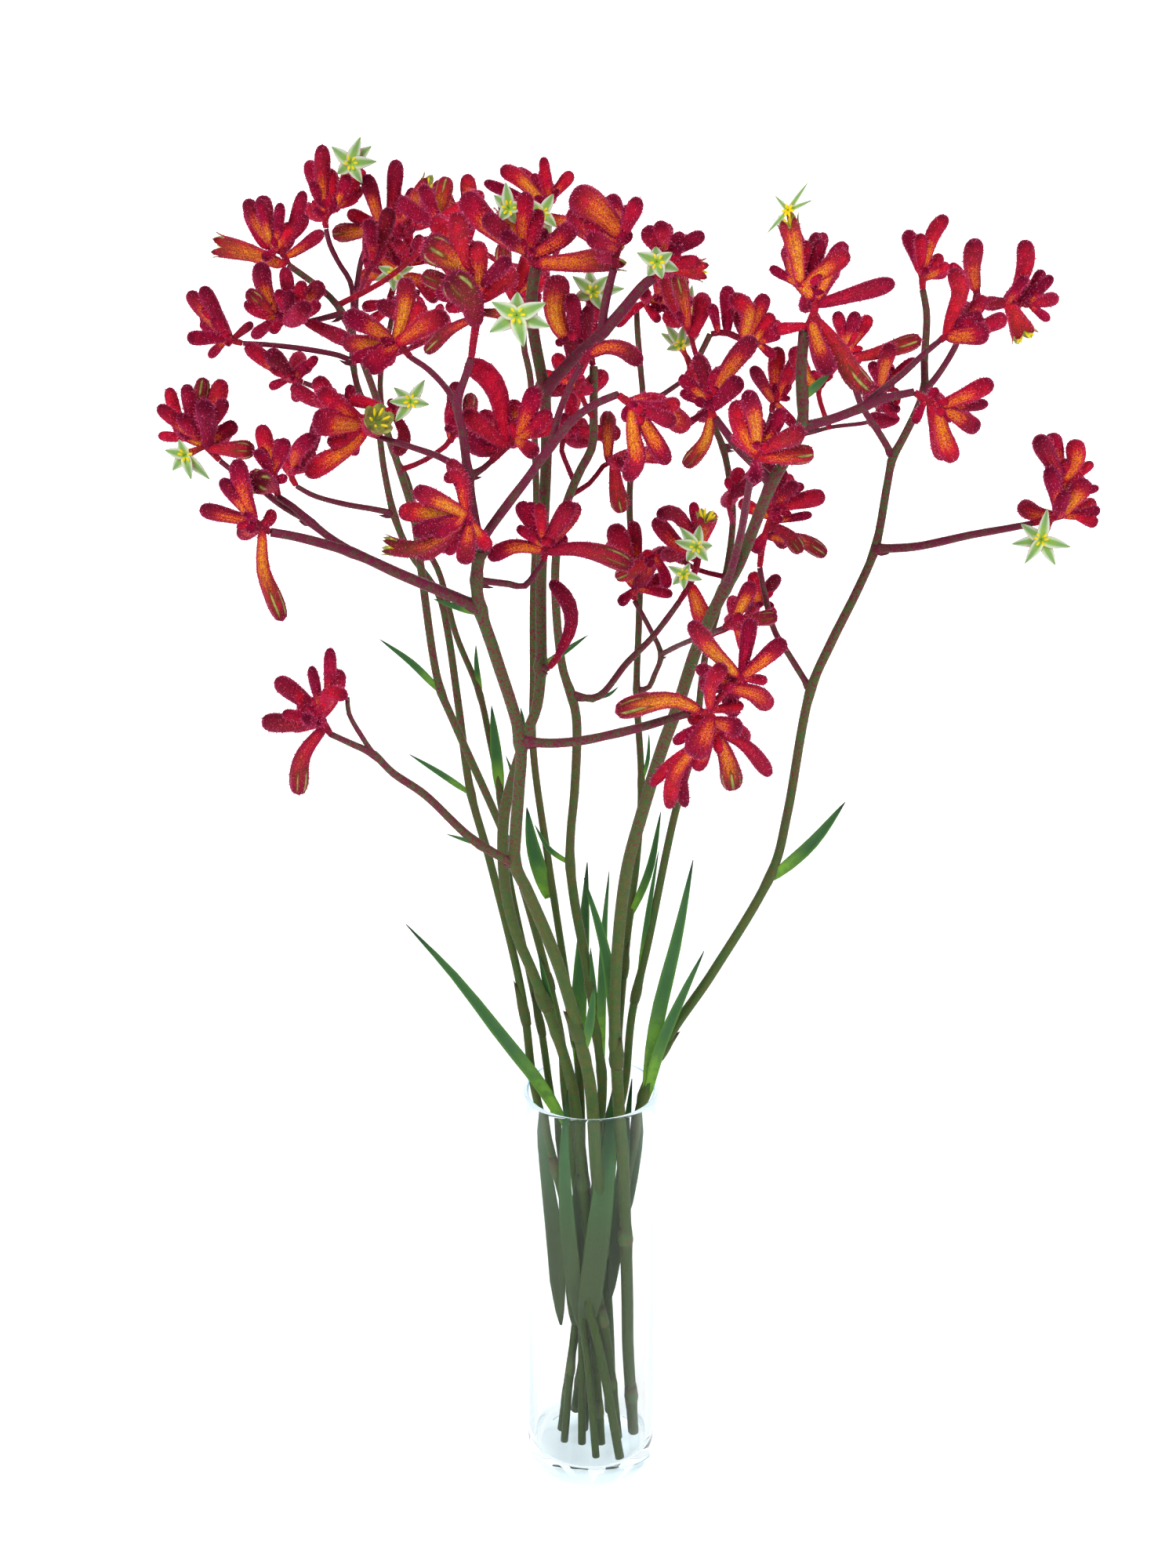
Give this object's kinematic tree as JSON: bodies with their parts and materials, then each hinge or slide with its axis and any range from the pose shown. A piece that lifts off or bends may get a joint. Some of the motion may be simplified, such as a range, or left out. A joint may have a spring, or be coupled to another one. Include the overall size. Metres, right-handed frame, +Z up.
{
  "type": "kangaroo paw cut flowers in a glass vase",
  "caption": "Loose bunch of red kangaroo paw with velvety buds and open star flowers on long branched stems, standing in a tall clear glass cylinder vase",
  "frame": {"origin": "the middle of the vase's underside, which stands on the surface", "axes": "+Z up along the vase's axis, +X to the viewer's right, -Y towards the viewer"},
  "size_m": [0.4364, 0.2546, 0.7087],
  "materials": {
    "glass": "clear gloss",
    "stem": "matt, fine hairs",
    "flower": "velvety hairs"
  },
  "bodies": {
    "root": {"vase": "glass", "stem_01": "stem", "stem_02": "stem", "stem_03": "stem", "stem_04": "stem", "stem_05": "stem", "stem_06": "stem", "stem_07": "stem", "stem_08": "stem", "stem_09": "stem", "stem_10": "stem", "stem_11": "stem", "head_01": "flower", "head_02": "flower", "head_03": "flower", "head_04": "flower", "head_05": "flower", "head_06": "flower", "head_07": "flower", "head_08": "flower", "head_09": "flower", "head_10": "flower", "head_11": "flower", "head_12": "flower", "head_13": "flower", "head_14": "flower", "head_15": "flower", "head_16": "flower", "head_17": "flower", "head_18": "flower", "head_19": "flower", "head_20": "flower", "head_21": "flower", "head_22": "flower", "head_23": "flower", "head_24": "flower", "head_25": "flower", "head_26": "flower", "head_27": "flower", "head_28": "flower", "head_29": "flower", "head_30": "flower", "head_31": "flower", "head_32": "flower", "head_33": "flower", "head_34": "flower", "head_35": "flower", "head_36": "flower", "head_37": "flower", "head_38": "flower", "head_39": "flower", "head_40": "flower", "head_41": "flower", "head_42": "flower", "head_43": "flower", "head_44": "flower", "head_45": "flower"}
  },
  "joints": []
}
